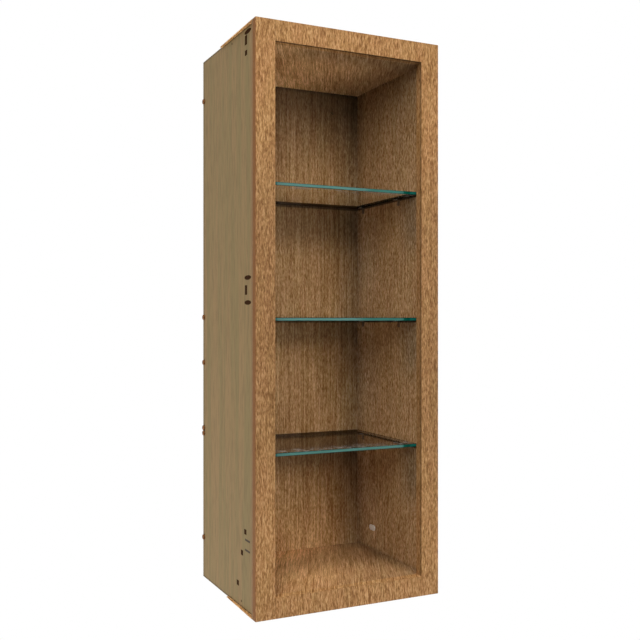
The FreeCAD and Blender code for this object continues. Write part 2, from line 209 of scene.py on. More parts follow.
# Each softbox by its turn to the right and its rise in degrees, its size and distance in metres,
# and its power.
lamps = {
    "leftKey": {"turn": -35, "rise": 28, "size": (1.2, 1.6), "distance": 3.0, "power": 44.0},
    "frontKey": {"turn": 15, "rise": 10, "size": (1.4, 1.4), "distance": 3.0, "power": 29.0},
    "lowFill": {"turn": 28, "rise": -25, "size": (1.4, 1.4), "distance": 3.0, "power": 17.0},
    "topFill": {"turn": -25, "rise": 66, "size": (1.4, 1.4), "distance": 3.0, "power": 50.0},
    "sideFill": {"turn": -108, "rise": -28, "size": (1.0, 1.0), "distance": 2.4, "power": 25.0},
    "rightFill": {"turn": 100, "rise": 8, "size": (1.4, 1.8), "distance": 3.0, "power": 30.0},
    "backFill": {"turn": 150, "rise": 25, "size": (1.6, 1.8), "distance": 3.0, "power": 46.0},
}


def aimAt(thing, target):
    direction = Vector(target) - thing.location
    thing.rotation_euler = direction.to_track_quat("-Z", "Y").to_euler()


def makeCamera():
    data = bpy.data.cameras.new("camera")
    data.lens = studio["lens"]
    data.shift_y = studio["horizonLift"]
    camera = bpy.data.objects.new("camera", data)
    camera.location = studio["cameraAt"]
    camera.rotation_euler = (math.radians(90), 0, math.radians(studio["yaw"]))  # level
    bpy.context.scene.collection.objects.link(camera)
    bpy.context.scene.camera = camera


def makeLamps():
    for name, values in lamps.items():
        turn = math.radians(values["turn"])
        rise = math.radians(values["rise"])
        away = Vector((math.sin(turn) * math.cos(rise), -math.cos(turn) * math.cos(rise), math.sin(rise)))
        data = bpy.data.lights.new(name, "AREA")
        data.shape = "RECTANGLE"
        data.size, data.size_y = values["size"]
        data.energy = values["power"]
        lamp = bpy.data.objects.new(name, data)
        lamp.location = Vector(studio["lampAim"]) + away * values["distance"]
        lamp.visible_transmission = False  # so that the panes throw a shadow on the back
        aimAt(lamp, studio["lampAim"])
        bpy.context.scene.collection.objects.link(lamp)


# seen: 1 for the eye, and for what it sees in gloss or through glass before any matt bounce.
# shaded: 1 for light that reaches a matt surface through a pane.
def seenDirectly(wires):
    path = wires.add("LightPath").outputs
    early = wires.calc("LESS_THAN", path["Diffuse Depth"], 0.5)
    glint = wires.calc("MAXIMUM", path["Is Glossy Ray"], path["Is Transmission Ray"])
    seen = wires.calc("MAXIMUM", path["Is Camera Ray"], wires.times(glint, early))
    return seen, wires.times(path["Is Transmission Ray"], wires.opposite(early))


def makeWorld():
    world = bpy.data.worlds.new("studio")
    bpy.context.scene.world = world
    wires = Wiring(world)
    seen, shaded = seenDirectly(wires)
    kept = wires.opposite(wires.times(shaded, studio["paneShade"]))
    soft = wires.times(kept, studio["ambient"])
    sky = wires.tree.nodes["Background"]
    wires.feed(sky.inputs["Color"], (1, 1, 1, 1))
    wires.feed(sky.inputs["Strength"], wires.calc("MAXIMUM", seen, soft))


# A wide pale floor that keeps the object's shadow near it and turns plain white far off.
def makeFloor(lowest):
    size = studio["floorSize"] / 2
    level = lowest - studio["floorDrop"]
    mesh = bpy.data.meshes.new("floor")
    corners = [(-size, -size, level), (size, -size, level), (size, size, level), (-size, size, level)]
    mesh.from_pydata(corners, [], [(0, 1, 2, 3)])
    floor = bpy.data.objects.new("floor", mesh)
    bpy.context.scene.collection.objects.link(floor)
    wires = paint("floorPaint")
    wires.finish(studio["floorColour"], studio["floorRough"], studio["floorGloss"])
    seen, _ = seenDirectly(wires)
    flat = wires.add("VectorMath", {0: wires.places(), 1: (1, 1, 0)}, operation="MULTIPLY").outputs[0]
    away = wires.add("VectorMath", {0: flat}, operation="LENGTH").outputs["Value"]
    far = wires.band(away, studio["nearReach"], studio["farReach"])
    white = wires.calc("MAXIMUM", far, studio["nearWhite"])
    glow = wires.add("Emission")
    mix = wires.add("MixShader", {0: wires.times(seen, white), 1: wires.shader.outputs[0],
                                  2: glow.outputs[0]})
    wires.feed(wires.tree.nodes["Material Output"].inputs["Surface"], mix.outputs[0])
    mesh.materials.append(wires.holder)


bpy.context.scene.view_settings.view_transform = "Standard"
makeCamera()
makeLamps()
makeWorld()
makeFloor(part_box("bottom_rail")[0].z)
print("studio ready")


# Oak

oak = {
    "strokeWidth": 0.0027,
    "strokeLength": 0.016,
    "fleckWidth": 0.0016,
    "fleckLength": 0.0078,
    "lineWidth": 0.0030,
    "lineLength": 0.14,
    "poreWidth": 0.0007,
    "poreLength": 0.009,
    "waver": 0.0036,  # how far the grain wanders sideways
    "waverLength": 0.028,
    "tintWidth": 0.018,
    "tintLength": 0.10,
    "bandWidth": 0.045,
    "bandLength": 0.50,
    "levelStretch": 5.0,  # the level faces' strokes are this much longer
    "turn": math.radians(26),  # the level faces' grain runs askew, as in the photo
    "middle": 0.5,  # a noise's middle value
    "strokeShare": 0.35,  # the flecks make up the rest
    "strokeRough": 0.6,
    "lineRough": 0.7,
    "colours": ((0.37, srgb(120, 79, 38)), (0.46, srgb(152, 108, 63)),
                (0.54, srgb(176, 131, 83)), (0.64, srgb(202, 158, 109))),
    "tints": ((0.38, (1.01, 0.99, 0.99, 1)), (0.62, (0.99, 1.01, 0.97, 1))),
    "bandFrom": 0.3,
    "bandTo": 0.7,
    "bandShade": 0.05,
    "poreDetail": 1.0,
    "poreFrom": 0.60,
    "poreTo": 0.68,
    "poreColour": srgb(92, 58, 28),
    "poreShare": 0.4,
    "poreDepth": 0.8,
    "relief": 0.0002,
    "specular": 0.15,
}


def toned(colour, tone):
    return (colour[0] * tone[0], colour[1] * tone[1], colour[2] * tone[2], 1.0)


def alongAxis(axis, across, along):
    sizes = [across] * 3
    sizes["XYZ".index(axis)] = along
    return tuple(sizes)


# Places pushed sideways a little, so that the grain waves.
def grainPlaces(wires, places, axis):
    cells = wires.stretched(places, alongAxis(axis, oak["waverLength"] / 2, oak["waverLength"]))
    wander = wires.add("TexNoise", {"Vector": cells, "Scale": 1.0, "Detail": 1.0}).outputs["Color"]
    centred = wires.add("VectorMath", {0: wander, 1: (oak["middle"],) * 3}, operation="SUBTRACT")
    reach = alongAxis(axis, oak["waver"], 0.0)
    moved = wires.add("VectorMath", {0: centred.outputs[0], 1: reach}, operation="MULTIPLY")
    return wires.add("VectorMath", {0: places, 1: moved.outputs[0]}, operation="ADD").outputs[0]


# Short wavy strokes over long fine lines, with dark pores. Returns the colour and the relief.
def oakGrain(wires, axis, look, turn=0.0):
    places = wires.add("Mapping", {"Vector": wires.places(), "Rotation": (0, 0, turn)}).outputs[0]
    where = grainPlaces(wires, places, axis)
    stretch = oak["levelStretch"] if turn else 1.0
    strokeSizes = alongAxis(axis, oak["strokeWidth"], oak["strokeLength"] * stretch)
    stroke = wires.noise(where, strokeSizes, roughness=oak["strokeRough"])
    fleckSizes = alongAxis(axis, oak["fleckWidth"], oak["fleckLength"] * stretch)
    fleck = wires.noise(where, fleckSizes, roughness=oak["strokeRough"])
    lineSizes = alongAxis(axis, oak["lineWidth"], oak["lineLength"])
    line = wires.noise(places, lineSizes, roughness=oak["lineRough"])
    flecked = wires.times(fleck, 1 - oak["strokeShare"])
    grain = wires.calc("ADD", wires.times(stroke, oak["strokeShare"]), flecked)
    grain = wires.calc("ADD", wires.times(grain, 1 - look["lines"]), wires.times(line, look["lines"]))
    centred = wires.calc("SUBTRACT", grain, oak["middle"])
    grain = wires.calc("ADD", wires.times(centred, look["contrast"]), oak["middle"])
    colour = wires.ramp(grain, [(place, toned(stop, look["tone"])) for place, stop in oak["colours"]])
    pit = wires.noise(where, alongAxis(axis, oak["poreWidth"], oak["poreLength"]), oak["poreDetail"])
    pore = wires.band(pit, oak["poreFrom"], oak["poreTo"])
    colour = wires.mix(wires.times(pore, oak["poreShare"]), colour, toned(oak["poreColour"], look["tone"]))
    patch = wires.noise(where, alongAxis(axis, oak["tintWidth"], oak["tintLength"]))
    colour = wires.mix(1.0, colour, wires.ramp(patch, oak["tints"]), "MULTIPLY")
    band = wires.noise(where, alongAxis(axis, oak["bandWidth"], oak["bandLength"]))
    shade = wires.add("MapRange", {"Value": band, "From Min": oak["bandFrom"], "From Max": oak["bandTo"],
                                   "To Min": 1 - oak["bandShade"], "To Max": 1 + oak["bandShade"]})
    colour = wires.mix(1.0, colour, shade.outputs["Result"], "MULTIPLY")
    return colour, wires.calc("SUBTRACT", grain, wires.times(pore, oak["poreDepth"]))


def finishOak(wires, colour, roughness, relief):
    return wires.finish(colour, roughness, oak["specular"], relief, oak["relief"])


# The face frame and the lips

faceFrame = {
    "tone": (0.81, 0.81, 0.82),
    "contrast": 1.20,
    "lines": 0.15,  # the share of long straight lines in the grain
    "rough": 0.6,
    "heartDepth": 0.20,  # how much darker the frame runs at mid-height
    "heartReach": 0.42,  # how far from mid-height that lasts
    "heartCore": 0.35,  # the share of that reach that doesn't fade
    "skin": 0.0003,  # how deep the outer edge's own finish goes
    "edgeBrown": srgb(114, 66, 18),  # the frame's outer edge is dark brown towards the front
    "edgeBrownShare": 0.8,
    "edgeBrownReach": 0.012,
    "edgeBrownBlend": 0.001,
    "dullEdge": srgb(122, 94, 63),
    "dullShare": 0.75,
    "flat": 0.97,  # how square to an axis a face is to be no arris
    "headPaintedLight": (1.58, 1.58, 1.58, 1),  # painted light: the frame's faces towards the opening are lighter
    "sillPaintedLight": (1.46, 1.51, 1.55, 1),
    "cheekPaintedLight": (1.24, 1.28, 1.32, 1),
    "headShade": 0.52,  # painted shade: darker towards the right of the head and the top of the stiles
    "cheekShade": 0.30,
    "cheekReach": 0.10,
    "arrisLine": 0.007,  # painted shade: the opening's front arris is dark this far in
    "arrisBlend": 0.0014,
    "headArrisShade": 0.67,
    "cheekArrisShade": 0.3015,
}

lip = {
    # painted light: the lips' oak tone is lifted far above the frame's
    "tone": (1.65, 1.75, 1.9),
    "contrast": 1.20,
    "lines": 0.15,
    "rough": 0.6,
}


# The frame's boards: darker towards mid-height, dark brown along their outer edges towards the front, and
# with painted light and shade on the faces towards the opening.
def frameMaterial():
    wires = paint("frameOak")
    colour, relief = oakGrain(wires, "Z", faceFrame)
    low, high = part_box("left_stile")
    across, depth, height = wires.axes(wires.places())
    middle = (low.z + high.z) / 2
    heart = wires.near(height, middle, faceFrame["heartReach"], faceFrame["heartCore"])
    colour = wires.darken(colour, heart, faceFrame["heartDepth"])

    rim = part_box("right_stile")[1].x
    isEdge = wires.calc("GREATER_THAN", wires.calc("ABSOLUTE", across), rim - faceFrame["skin"])
    edgeBrownEnd = low.y + faceFrame["edgeBrownReach"]
    isRear = wires.band(depth, edgeBrownEnd, edgeBrownEnd + faceFrame["edgeBrownBlend"])
    browned = wires.mix(faceFrame["edgeBrownShare"], colour, faceFrame["edgeBrown"])
    edge = wires.mix(isRear, browned, wires.mix(faceFrame["dullShare"], colour, faceFrame["dullEdge"]))

    level, _ = oakGrain(wires, "Y", faceFrame, oak["turn"])
    colour = wires.mix(wires.alongside("Z"), colour, level)
    isHead = wires.calc("LESS_THAN", wires.facing("Z"), -faceFrame["flat"])
    isSill = wires.calc("GREATER_THAN", wires.facing("Z"), faceFrame["flat"])
    isCheek = wires.alongside("X", faceFrame["flat"])
    # Painted light on the faces towards the opening, then painted shade towards the right and the top.
    colour = wires.tinted(colour, isHead, faceFrame["headPaintedLight"])
    colour = wires.tinted(colour, isSill, faceFrame["sillPaintedLight"])
    colour = wires.tinted(colour, isCheek, faceFrame["cheekPaintedLight"])
    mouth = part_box("right_stile")[0].x
    toRight = wires.band(across, -mouth, mouth)
    colour = wires.darken(colour, wires.times(isHead, toRight), faceFrame["headShade"])
    underHead = wires.near(height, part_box("top_rail")[0].z, faceFrame["cheekReach"])
    colour = wires.darken(colour, wires.times(isCheek, underHead), faceFrame["cheekShade"])

    # Painted shade along the opening's front arris.
    arris = low.y + faceFrame["arrisLine"]
    isFront = wires.fall(depth, arris - faceFrame["arrisBlend"], arris)
    isUnder = wires.calc("LESS_THAN", wires.facing("Z"), -wires.turned)
    colour = wires.darken(colour, wires.times(isUnder, isFront), faceFrame["headArrisShade"])
    colour = wires.darken(colour, wires.times(wires.alongside("X"), isFront), faceFrame["cheekArrisShade"])
    return finishOak(wires, wires.mix(isEdge, colour, edge), faceFrame["rough"], relief)


def lipMaterial():
    wires = paint("lipOak")
    colour, relief = oakGrain(wires, "Y", lip)
    return finishOak(wires, colour, lip["rough"], relief)


# Plain ply, for the faces that nobody sees and for edges

ply = {
    "face": srgb(198, 170, 128),
    "light": srgb(196, 168, 122),
    "dark": srgb(138, 104, 66),
    "layer": 0.0027,
    "layerFrom": 0.4,  # shares of a layer
    "layerTo": 0.6,
    "figureWidth": 0.018,
    "figureLength": 0.25,
    "figureDetail": 3.0,
    "figureRough": 0.6,
    "figureTwist": 0.6,
    "figureFrom": 0.4,
    "figureTo": 0.7,
    "figureShare": 0.35,
    "fibreWidth": 0.0010,
    "fibreLength": 0.03,
    "fibreShare": 0.2,
}


def plyFace(wires, axis):
    sizes = alongAxis(axis, ply["figureWidth"], ply["figureLength"])
    figure = wires.noise(wires.places(), sizes, ply["figureDetail"], ply["figureRough"], ply["figureTwist"])
    fibre = wires.noise(wires.places(), alongAxis(axis, ply["fibreWidth"], ply["fibreLength"]))
    colour = wires.mix(wires.band(figure, ply["figureFrom"], ply["figureTo"]), ply["face"], ply["dark"])
    colour = wires.mix(ply["figureShare"], ply["face"], colour)
    return wires.mix(wires.times(fibre, ply["fibreShare"]), colour, ply["dark"])


def plyLayers(wires, place):
    layer = wires.calc("PINGPONG", place, ply["layer"])
    isDark = wires.band(layer, ply["layer"] * ply["layerFrom"], ply["layer"] * ply["layerTo"])
    return wires.mix(isDark, ply["light"], ply["dark"])


# Painted shade and light in strips under the panes, on the back and the walls

underShelf = {
    "lead": 0.0014,  # each strip starts this far above the pane's underside
    "core": 0.4,  # the share of a strip that doesn't fade
}


# 1 in a strip this high under a pane's underside, fading towards its lower edge.
def underPane(wires, height, shelf, strip):
    drop = wires.calc("SUBTRACT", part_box(shelf)[0].z, height)
    fading = wires.fall(drop, strip * underShelf["core"], strip)
    return wires.times(wires.calc("GREATER_THAN", drop, -underShelf["lead"]), fading)


# The back

back = {
    "tone": (1.13, 1.26, 1.45),
    "contrast": 1.30,
    "lines": 0.36,
    "rough": 0.62,
    "ceilingShade": 0.72,  # painted shade: the back is darker where it meets the ceiling
    "ceilingReach": 0.22,
    # painted shade: a dark line right at the ceiling joint
    "jointShade": 0.45,
    "jointReach": 0.010,
    "floorLift": 0.28,  # painted light: paler where it meets the floor
    "floorReach": 0.16,
    # painted shade: darker and greyer towards the corners with the walls
    "cornerShadeTint": (0.675, 0.735, 0.83, 1),
    "cornerReach": 0.08,
    "shadowStrip": 0.0060,  # painted shadow: a dark strip this high under the panes' edges
    "shadowDepth": 0.66,
    "shelfShadeTint": (0.595, 0.605, 0.62, 1),
    # painted shade: the back is darker for this far under each pane, and darker again under the lowest
    "shelfShadeReach": {"lower_shelf": 0.100, "middle_shelf": 0.075, "upper_shelf": 0.125},
    "lowestShelfShade": 0.15,
}


def backMaterial():
    wires = paint("backOak")
    colour, relief = oakGrain(wires, "Z", back)
    across, _, height = wires.axes(wires.places())
    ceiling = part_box("top_panel")[0].z
    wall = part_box("right_side")[0].x
    # Painted shade under the ceiling and in the corners, painted light near the floor.
    colour = wires.darken(colour, wires.near(height, ceiling, back["ceilingReach"]), back["ceilingShade"])
    colour = wires.darken(colour, wires.near(height, ceiling, back["jointReach"]), back["jointShade"])
    floorSide = wires.near(height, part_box("bottom_panel")[1].z, back["floorReach"])
    colour = wires.darken(colour, floorSide, -back["floorLift"])
    corner = wires.near(wires.calc("ABSOLUTE", across), wall, back["cornerReach"])
    colour = wires.tinted(colour, corner, back["cornerShadeTint"])
    for shelf in shelves:
        paneShadow = underPane(wires, height, shelf, back["shadowStrip"])
        colour = wires.darken(colour, paneShadow, back["shadowDepth"])
        # fresh: the painted shade under each pane
        fresh = underPane(wires, height, shelf, back["shelfShadeReach"][shelf])
        colour = wires.tinted(colour, fresh, back["shelfShadeTint"])
        if shelf == shelves[0]:
            colour = wires.darken(colour, fresh, back["lowestShelfShade"])
    isRear = wires.calc("GREATER_THAN", wires.facing("Y"), wires.turned)
    return finishOak(wires, wires.mix(isRear, colour, plyFace(wires, "Z")), back["rough"], relief)


# Ceiling and floor

panels = {
    "rough": 0.62,
    "rightShadeTint": (0.59, 0.61, 0.64, 1),  # painted shade: both are darker towards the right wall
    "rightReach": 0.22,
    "halfFrom": -0.14,  # painted shade and light: one half of each is darker at the front and paler at the back
    "halfTo": -0.05,
    "endReach": 0.11,
}

ceilingFinish = {
    "looks": -1.0,  # down into the case
    # painted light: the ceiling's oak tone is lifted far above the frame's
    "tone": (1.75, 1.98, 2.44),
    "contrast": 1.25,
    "lines": 0.30,
    "frontShadeTint": (0.52, 0.52, 0.53, 1),
    "rearLightTint": (1.30, 1.34, 1.36, 1),
}

floorFinish = {
    "looks": 1.0,
    # painted light: the floor's oak tone is lifted far above the frame's
    "tone": (1.58, 1.72, 2.02),
    "contrast": 1.06,
    "lines": 0.30,
    "frontShadeTint": (0.75, 0.72, 0.70, 1),
    "rearLightTint": (1.40, 1.44, 1.50, 1),
    "leftLightTint": (1.32, 1.42, 1.54, 1),  # painted light: the floor's left rear is paler
    "leftFrom": 0.01,
    "leftTo": -0.09,
    "leftReach": 0.24,
    "footShade": 0.26,  # painted shade: its foot at the right wall is darker
    "footReach": 0.04,
}


# A ceiling or floor: oak with painted shade and light on the face that looks into the case, plain ply on
# the rest.
def panelMaterial(name, look):
    wires = paint(name)
    colour, relief = oakGrain(wires, "Y", look, oak["turn"])
    across, depth, _ = wires.axes(wires.places())
    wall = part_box("right_side")[0].x
    colour = wires.tinted(colour, wires.near(across, wall, panels["rightReach"]), panels["rightShadeTint"])
    half = wires.band(wires.times(across, -look["looks"]), panels["halfFrom"], panels["halfTo"])
    nearFront = wires.near(depth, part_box("left_side")[0].y, panels["endReach"])
    nearBack = wires.near(depth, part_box("back_panel")[0].y, panels["endReach"])
    colour = wires.tinted(colour, wires.times(nearFront, half), look["frontShadeTint"])
    colour = wires.tinted(colour, wires.times(nearBack, half), look["rearLightTint"])
    if look is floorFinish:
        left = wires.fall(across, look["leftTo"], look["leftFrom"])
        rear = wires.near(depth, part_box("back_panel")[0].y, look["leftReach"])
        colour = wires.tinted(colour, wires.times(left, rear), look["leftLightTint"])
        colour = wires.darken(colour, wires.near(across, wall, look["footReach"]), look["footShade"])
    isInner = wires.calc("GREATER_THAN", wires.times(wires.facing("Z"), look["looks"]), wires.turned)
    return finishOak(wires, wires.mix(isInner, plyFace(wires, "Y"), colour), panels["rough"], relief)


# The case's sides

sides = {
    "tone": (1.08, 1.25, 1.56),
    "contrast": 1.75,
    "lines": 0.25,
    "rough": 0.62,
    "topShadeTint": (0.76, 0.80, 0.84, 1),  # painted shade: the walls are darker towards the ceiling
    "topReach": 0.22,
    "footShade": 0.26,  # and where they meet the floor
    "footLine": 0.010,
    "seamShade": 0.20,  # and the back
    "seamReach": 0.035,
    "shadowStrip": 0.0048,  # the painted shadow strips under the panes are lower here than on the back
    "shadowDepth": 0.82,
    "rearLightTint": (1.25, 1.44, 1.80, 1),  # painted light: they are paler and greyer towards the back under each pane
    "rearReach": 0.14,
    "rearDrop": 0.28,
    "frontShadeTint": (0.605, 0.655, 0.735, 1),  # painted shade: darker under each pane towards the front
    "frontDrop": 0.15,
    "frontFrom": 0.035,
    "frontTo": 0.105,
}

outside = {
    "skinFrom": 0.0008,  # how deep the outer face's own finish goes
    "skinTo": 0.0006,
    "cell": 0.05,  # through the board, where the figure hardly changes
    "bandWidth": 0.014,
    "bandLength": 0.45,
    "bandRough": 0.55,
    "colours": ((0.40, srgb(129, 111, 73)), (0.60, srgb(140, 114, 77))),
    "lineWidth": 0.0042,
    "lineLength": 0.040,
    "lineDetail": 3.0,
    "lineRough": 0.6,
    "lineFrom": 0.44,
    "lineTo": 0.66,
    "lineShare": 0.55,
    "lineColour": srgb(110, 91, 59),
    "edgeLine": srgb(92, 74, 44),  # painted shade: a dark line along top, bottom and rear
    "rimWidth": 0.0046,
    "rimCore": 0.5,
    "rimShare": 0.8,
    "rearWidth": 0.0100,
    "rearCore": 0.75,
    "rearShare": 0.45,
}


# The walls' inner face: flecked oak, with painted shade and light under the panes and at the joints.
def wallFinish(wires, depth, height):
    inner, relief = oakGrain(wires, "Z", sides)
    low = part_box("right_side")[0]
    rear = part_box("back_panel")[0].y
    corner = wires.near(depth, rear, sides["rearReach"])
    under = wires.near(height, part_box("top_panel")[0].z, sides["topReach"])
    inner = wires.tinted(inner, under, sides["topShadeTint"])
    foot = wires.near(height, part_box("bottom_panel")[1].z, sides["footLine"])
    inner = wires.darken(inner, foot, sides["footShade"])
    inner = wires.darken(inner, wires.near(depth, rear, sides["seamReach"]), sides["seamShade"])
    behindFront = wires.calc("GREATER_THAN", depth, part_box("lower_shelf")[0].y)
    nearFront = wires.fall(depth, low.y + sides["frontFrom"], low.y + sides["frontTo"])
    for shelf in shelves:
        paneShadow = wires.times(underPane(wires, height, shelf, sides["shadowStrip"]), behindFront)
        inner = wires.darken(inner, paneShadow, sides["shadowDepth"])
        pale = wires.times(underPane(wires, height, shelf, sides["rearDrop"]), corner)
        inner = wires.tinted(inner, pale, sides["rearLightTint"])
        # fresh: the painted shade under each pane towards the front
        fresh = wires.times(underPane(wires, height, shelf, sides["frontDrop"]), nearFront)
        inner = wires.tinted(inner, fresh, sides["frontShadeTint"])
    return inner, relief


# The sides' outer face: quiet olive veneer, with painted shade in a dark line along top, bottom and rear.
def outsideFinish(wires, places, depth, height):
    low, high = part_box("right_side")
    bandSizes = (outside["cell"], outside["bandWidth"], outside["bandLength"])
    band = wires.noise(places, bandSizes, roughness=outside["bandRough"])
    outer = wires.ramp(band, outside["colours"])
    lineSizes = (outside["cell"], outside["lineWidth"], outside["lineLength"])
    streak = wires.noise(places, lineSizes, outside["lineDetail"], outside["lineRough"])
    line = wires.times(wires.band(streak, outside["lineFrom"], outside["lineTo"]), outside["lineShare"])
    outer = wires.mix(line, outer, outside["lineColour"])
    toTop = wires.calc("SUBTRACT", high.z, height)
    toRim = wires.calc("MINIMUM", toTop, wires.calc("SUBTRACT", height, low.z))
    rim = wires.fall(toRim, outside["rimWidth"] * outside["rimCore"], outside["rimWidth"])
    outer = wires.mix(wires.times(rim, outside["rimShare"]), outer, outside["edgeLine"])
    toRear = wires.calc("SUBTRACT", high.y, depth)
    rear = wires.fall(toRear, outside["rearWidth"] * outside["rearCore"], outside["rearWidth"])
    return wires.mix(wires.times(rear, outside["rearShare"]), outer, outside["edgeLine"])


def sideMaterial():
    wires = paint("caseSide")
    places = wires.places()
    across, depth, height = wires.axes(places)
    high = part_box("right_side")[1]
    fromMiddle = wires.calc("ABSOLUTE", across)
    inner, relief = wallFinish(wires, depth, height)
    outer = outsideFinish(wires, places, depth, height)
    isOuter = wires.band(fromMiddle, high.x - outside["skinFrom"], high.x - outside["skinTo"])
    colour = wires.mix(wires.alongside("X"), plyLayers(wires, fromMiddle), wires.mix(isOuter, inner, outer))
    return finishOak(wires, colour, sides["rough"], wires.times(relief, wires.opposite(isOuter)))


# Unfinished softwood with wide soft growth lines, for rails, cleats and corner blocks

softwood = {
    "light": srgb(206, 176, 128),
    "dark": srgb(170, 130, 82),
    "ringWidth": 0.006,
    "ringLength": 0.24,
    "ringDetail": 3.0,
    "ringRough": 0.55,
    "ringTwist": 0.4,
    "ringFrom": 0.35,
    "ringStart": 0.55,
    "ringHeart": 0.62,
    "ringEnd": 0.72,
    "fibreWidth": 0.0009,
    "fibreLength": 0.05,
    "fibreRough": 0.6,
    "fibreShare": 0.25,
    "rough": 0.75,
    "specular": 0.2,
    "relief": 0.0002,
}


def plainWood(name, axis):
    wires = paint(name)
    places = wires.places()
    light, dark = softwood["light"], softwood["dark"]
    ringSizes = alongAxis(axis, softwood["ringWidth"], softwood["ringLength"])
    ring = wires.noise(places, ringSizes, softwood["ringDetail"], softwood["ringRough"],
                       softwood["ringTwist"])
    colour = wires.ramp(ring, [(softwood["ringFrom"], light), (softwood["ringStart"], light),
                               (softwood["ringHeart"], dark), (softwood["ringEnd"], light)])
    fibreSizes = alongAxis(axis, softwood["fibreWidth"], softwood["fibreLength"])
    fibre = wires.noise(places, fibreSizes, roughness=softwood["fibreRough"])
    colour = wires.mix(wires.times(fibre, softwood["fibreShare"]), colour, dark)
    return wires.finish(colour, softwood["rough"], softwood["specular"], fibre, softwood["relief"])


# Metal and plastic

hardware = {
    "metalGrit": 0.0012,
    "gritRough": 0.6,
    "gritColour": (0.02, 0.018, 0.015, 1),
    "roughSwing": 0.2,
    "metalSpecular": 0.5,
    "metalRelief": 0.00002,
    "plasticGrit": 0.0007,
    "plasticRelief": 0.00003,
    "padHaze": 0.002,
    "padColour": (0.92, 0.94, 0.93, 1),
    "padRough": 0.5,
    "padClear": 0.7,
    "padBend": 1.42,  # the index of refraction
    "padSpecular": 0.4,
}


def metal(name, colour, roughness, wear):
    wires = paint(name)
    grit = wires.noise(wires.places(), (hardware["metalGrit"],) * 3, roughness=hardware["gritRough"])
    tone = wires.mix(wires.times(grit, wear), colour, hardware["gritColour"])
    swing = hardware["roughSwing"]
    rough = wires.calc("ADD", wires.times(grit, swing), roughness - swing / 2)
    wires.shader.inputs["Metallic"].default_value = 1.0
    return wires.finish(tone, rough, hardware["metalSpecular"], grit, hardware["metalRelief"])


def moulded(name, colour, roughness, speck, specular):
    wires = paint(name)
    grit = wires.noise(wires.places(), (hardware["plasticGrit"],) * 3)
    tone = wires.mix(wires.times(grit, speck), colour, (0, 0, 0, 1))
    return wires.finish(tone, roughness, specular, grit, hardware["plasticRelief"])


def softClear(name):
    wires = paint(name)
    haze = wires.noise(wires.places(), (hardware["padHaze"],) * 3)
    wires.shader.inputs["Transmission Weight"].default_value = hardware["padClear"]
    wires.shader.inputs["IOR"].default_value = hardware["padBend"]
    rough = wires.times(haze, hardware["padRough"])
    return wires.finish(hardware["padColour"], rough, hardware["padSpecular"])


# Glass

glass = {
    "clear": (0.965, 0.985, 0.975, 1),
    "smear": 0.06,  # the gloss drifts over this far
    "smearRough": 0.02,
    "specks": (0.022, 0.005, 0.004),  # the size of one painted glint
    "speckDetail": 3.0,
    "speckRough": 0.65,
    "speckFrom": 0.54,
    "speckTo": 0.61,
    "paintedGlint": srgb(186, 170, 146),
    "paintedGlintShare": 0.50,
    "paintedGlintFull": 0.01,  # painted glints: pale specks, which fade from this far behind the front edge
    "paintedGlintReach": 0.055,  # to this far, where they end
    "drift": (0.03, 0.03, 0.002),
    "driftShade": 0.3,
    "frontColours": ((0.35, srgb(46, 97, 87)), (0.65, srgb(54, 107, 99))),
    "frontRough": 0.3,
    "frontThrough": 0.12,
    "endPale": srgb(20, 106, 94),
    "endDeep": srgb(4, 74, 62),
    "endLength": 0.030,  # painted shade: the front edge is a deeper green this near its ends
    "endBlend": 0.001,
    "tipLength": 0.012,
    "tipBlend": 0.006,
    "lowShare": 0.18,  # painted shade: the lowest part of the front edge is dark
    "lowCore": 0.6,
    "lowShade": 0.6,
    "arris": srgb(30, 56, 48),
    "back": srgb(72, 52, 33),
    "side": srgb(3, 22, 18),
    "through": (0.75, 0.72, 0.66, 1),
    "edgeRough": 0.2,
    "specular": 0.5,
    "sheen": 0.25,
    "sheenRough": 0.03,
}


# Thin panes bend what is behind them too little to see: light goes straight through,
# and a coat gives the gloss.
def straightGlass(wires, colour, roughness, through):
    wires.feed(wires.shader.inputs["Transmission Weight"], through)
    wires.shader.inputs["IOR"].default_value = 1.0
    wires.shader.inputs["Coat Weight"].default_value = glass["sheen"]
    wires.shader.inputs["Coat Roughness"].default_value = glass["sheenRough"]
    return wires.finish(colour, roughness, glass["specular"])


def clearGlass(name):
    wires = paint(name)
    places = wires.places()
    depth = wires.axes(places)[1]
    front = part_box("lower_shelf")[0].y
    smear = wires.noise(places, (glass["smear"],) * 3)
    # Painted glints: pale specks near the front edge.
    speck = wires.noise(places, glass["specks"], glass["speckDetail"], glass["speckRough"])
    nearFront = wires.fall(depth, front + glass["paintedGlintFull"], front + glass["paintedGlintReach"])
    spots = wires.times(wires.band(speck, glass["speckFrom"], glass["speckTo"]), nearFront)
    paintedGlint = wires.times(spots, glass["paintedGlintShare"])
    colour = wires.mix(paintedGlint, glass["clear"], glass["paintedGlint"])
    return straightGlass(wires, colour, wires.times(smear, glass["smearRough"]), wires.opposite(paintedGlint))


